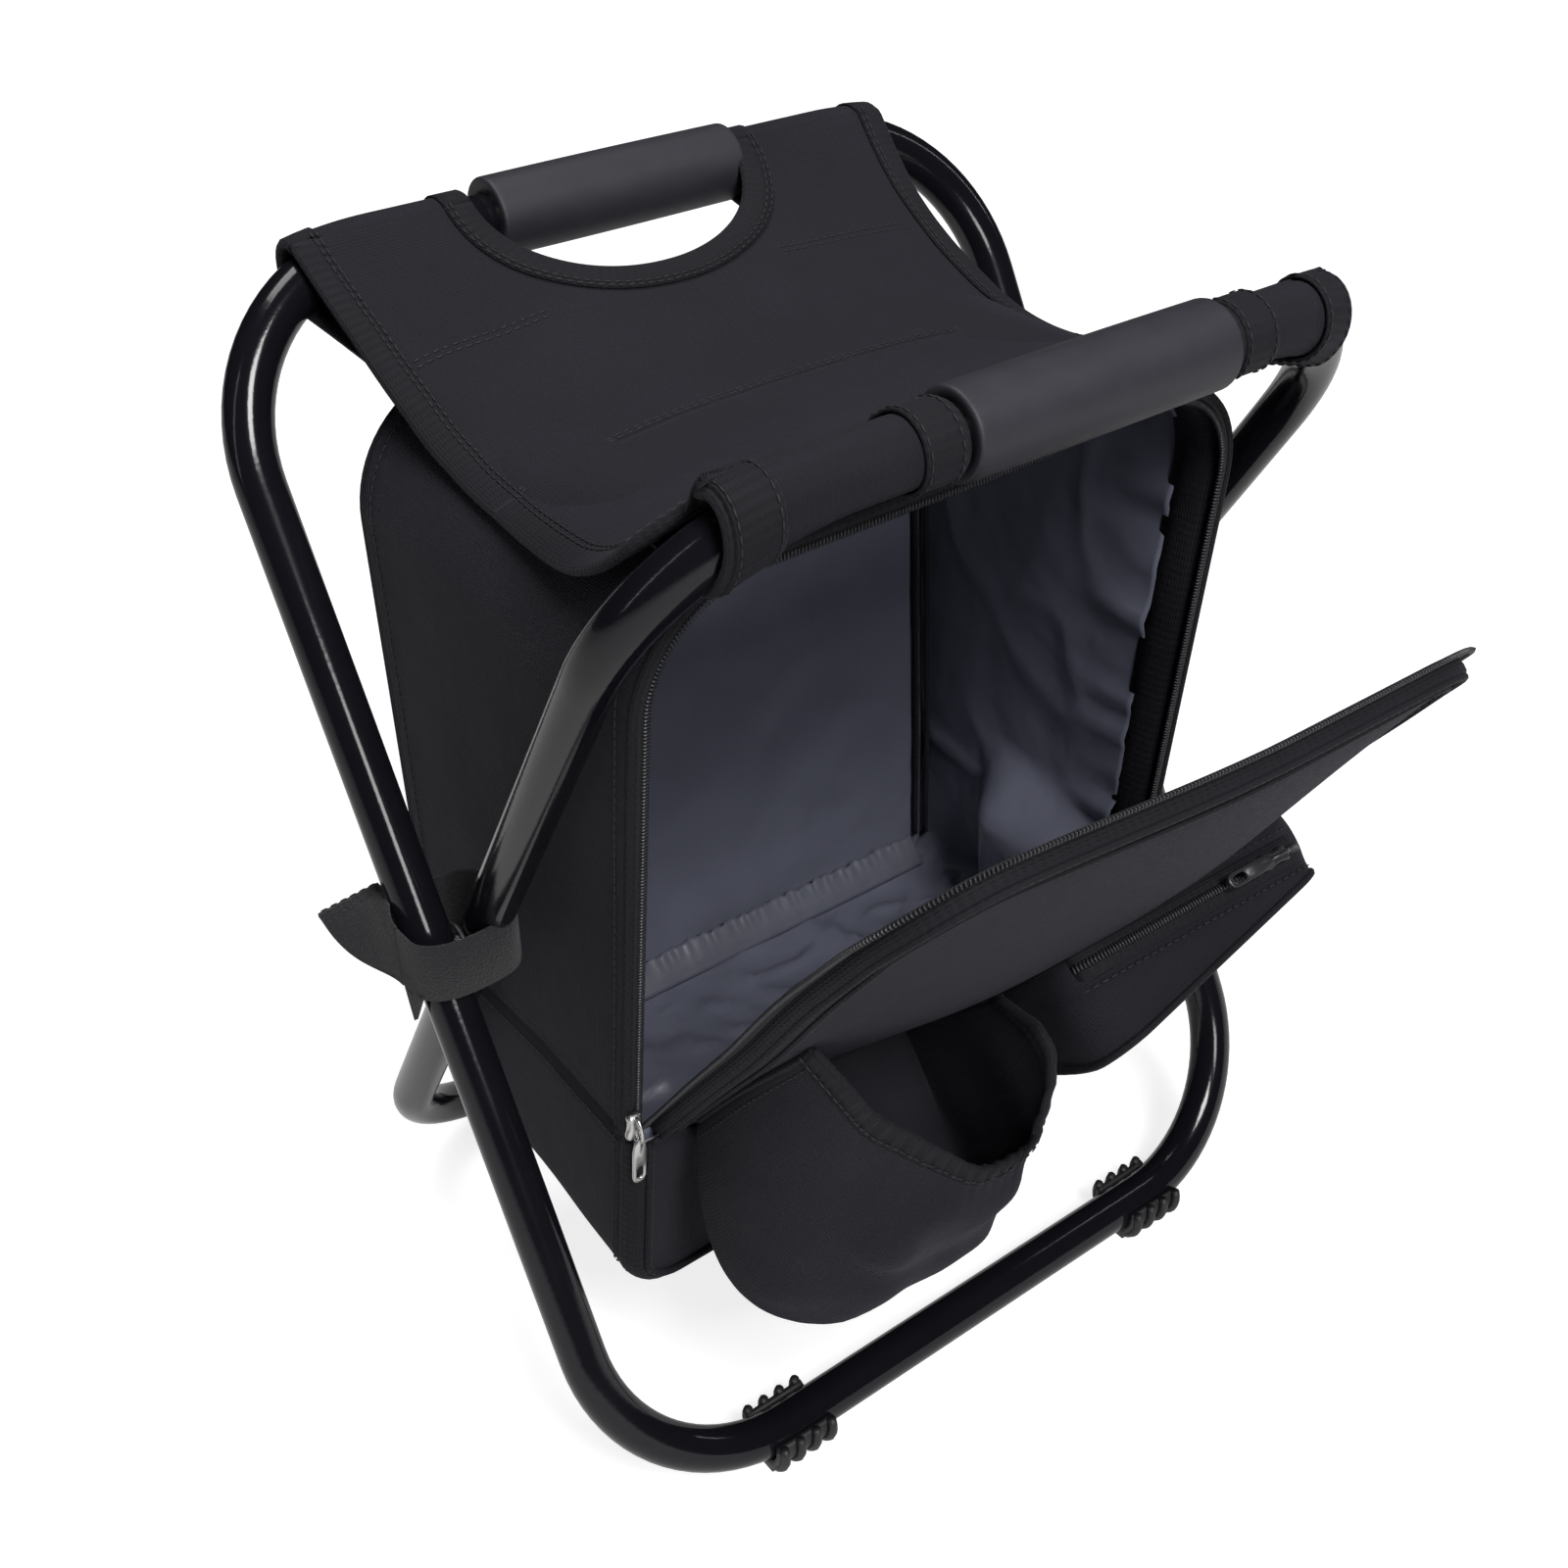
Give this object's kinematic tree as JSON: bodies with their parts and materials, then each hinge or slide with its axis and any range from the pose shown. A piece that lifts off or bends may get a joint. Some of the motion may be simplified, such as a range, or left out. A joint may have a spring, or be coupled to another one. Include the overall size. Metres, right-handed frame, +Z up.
{
  "type": "folding cooler stool",
  "caption": "Folding stool with two crossing tube loops, a slung cloth seat and an insulated bag below it that opens at the front with a zipped flap carrying pockets.",
  "frame": {"origin": "on the floor, in the middle of the stool's footprint", "axes": "+Z up; +X to the sitter's left when the flap faces away from them, so -Y is the side with the flap"},
  "size_m": [0.3452, 0.3304, 0.4199],
  "materials": {
    "frame_paint": "gloss black paint on steel tube",
    "plated_steel": "satin plated steel",
    "black_rubber": "matte moulded rubber",
    "grip_foam": "fine-celled satin foam",
    "black_cloth": "plain woven black polyester",
    "grey_lining": "satin grey wipe-clean lining",
    "white_foam": "matte white foam sheet",
    "black_zip": "woven tape with a nylon coil",
    "loop_tape": "fuzzy hook and loop tape"
  },
  "bodies": {
    "outer_frame": {"outer_frame_tube": "frame_paint", "rear_grip": "grip_foam", "rear_sleeve_left": "black_cloth", "rear_sleeve_right": "black_cloth", "pivot_rivet_left": "plated_steel", "pivot_rivet_right": "plated_steel", "pivot_washer_left": "black_rubber", "pivot_washer_right": "black_rubber", "front_foot_left": "black_rubber", "front_foot_right": "black_rubber"},
    "inner_frame": {"inner_frame_tube": "frame_paint", "front_grip": "grip_foam", "front_sleeve_left": "black_cloth", "front_sleeve_right": "black_cloth", "rear_foot_left": "black_rubber", "rear_foot_right": "black_rubber"},
    "bag": {"seat_panel": "black_cloth", "bag_gusset": "black_cloth", "bag_back": "black_cloth", "insulation_gusset": "white_foam", "insulation_back": "white_foam", "lining_gusset": "grey_lining", "lining_back": "grey_lining", "bag_zip": "black_zip", "lower_lining": "grey_lining", "lower_insulation": "white_foam", "lower_panel": "black_cloth", "side_strap_left": "loop_tape", "side_strap_right": "loop_tape"},
    "flap": {"flap_zip": "black_zip", "flap_lining": "grey_lining", "flap_insulation": "white_foam", "flap_panel": "black_cloth", "bottle_pocket": "black_cloth", "zip_pocket": "black_cloth", "pocket_zip": "black_zip"},
    "zip_slider": {"zip_slider": "plated_steel"},
    "zip_pull": {"zip_pull": "plated_steel"},
    "pocket_slider": {"pocket_slider": "plated_steel"},
    "pocket_pull": {"pocket_pull": "plated_steel"}
  },
  "joints": [
    {"name": "outer_fold", "type": "hinge", "parent": "bag", "child": "outer_frame", "pos_m": [0, 0.0358, 0.206], "axis": [1, 0, 0], "range_deg": [0, 26], "deforming": ["seat_panel"]},
    {"name": "inner_fold", "type": "hinge", "parent": "bag", "child": "inner_frame", "pos_m": [0, 0.0358, 0.206], "axis": [-1, 0, 0], "range_deg": [0, 26]},
    {"name": "flap_open", "type": "hinge", "parent": "bag", "child": "flap", "pos_m": [0, -0.03306, 0.14724], "axis": [1, 0, 0], "range_deg": [-31.7, 50]},
    {"name": "zip_slide", "type": "slide", "parent": "bag", "child": "zip_slider", "axis": [0, -0.1097, 0.994], "range_m": [0, 0.16]},
    {"name": "zip_pull_swing", "type": "hinge", "parent": "zip_slider", "child": "zip_pull", "pos_m": [-0.1263, -0.03492, 0.15408], "axis": [-1, 0, 0], "range_deg": [0, 150]},
    {"name": "pocket_zip_slide", "type": "slide", "parent": "flap", "child": "pocket_slider", "axis": [-1, 0, 0], "range_m": [0, 0.06]},
    {"name": "pocket_pull_swing", "type": "hinge", "parent": "pocket_slider", "child": "pocket_pull", "pos_m": [0.0817, -0.12171, 0.22773], "axis": [0, 0.788, 0.6157], "range_deg": [0, 150]}
  ],
  "couplings": [
    {"joint": "inner_fold", "follows": "outer_fold", "ratio": 1}
  ]
}
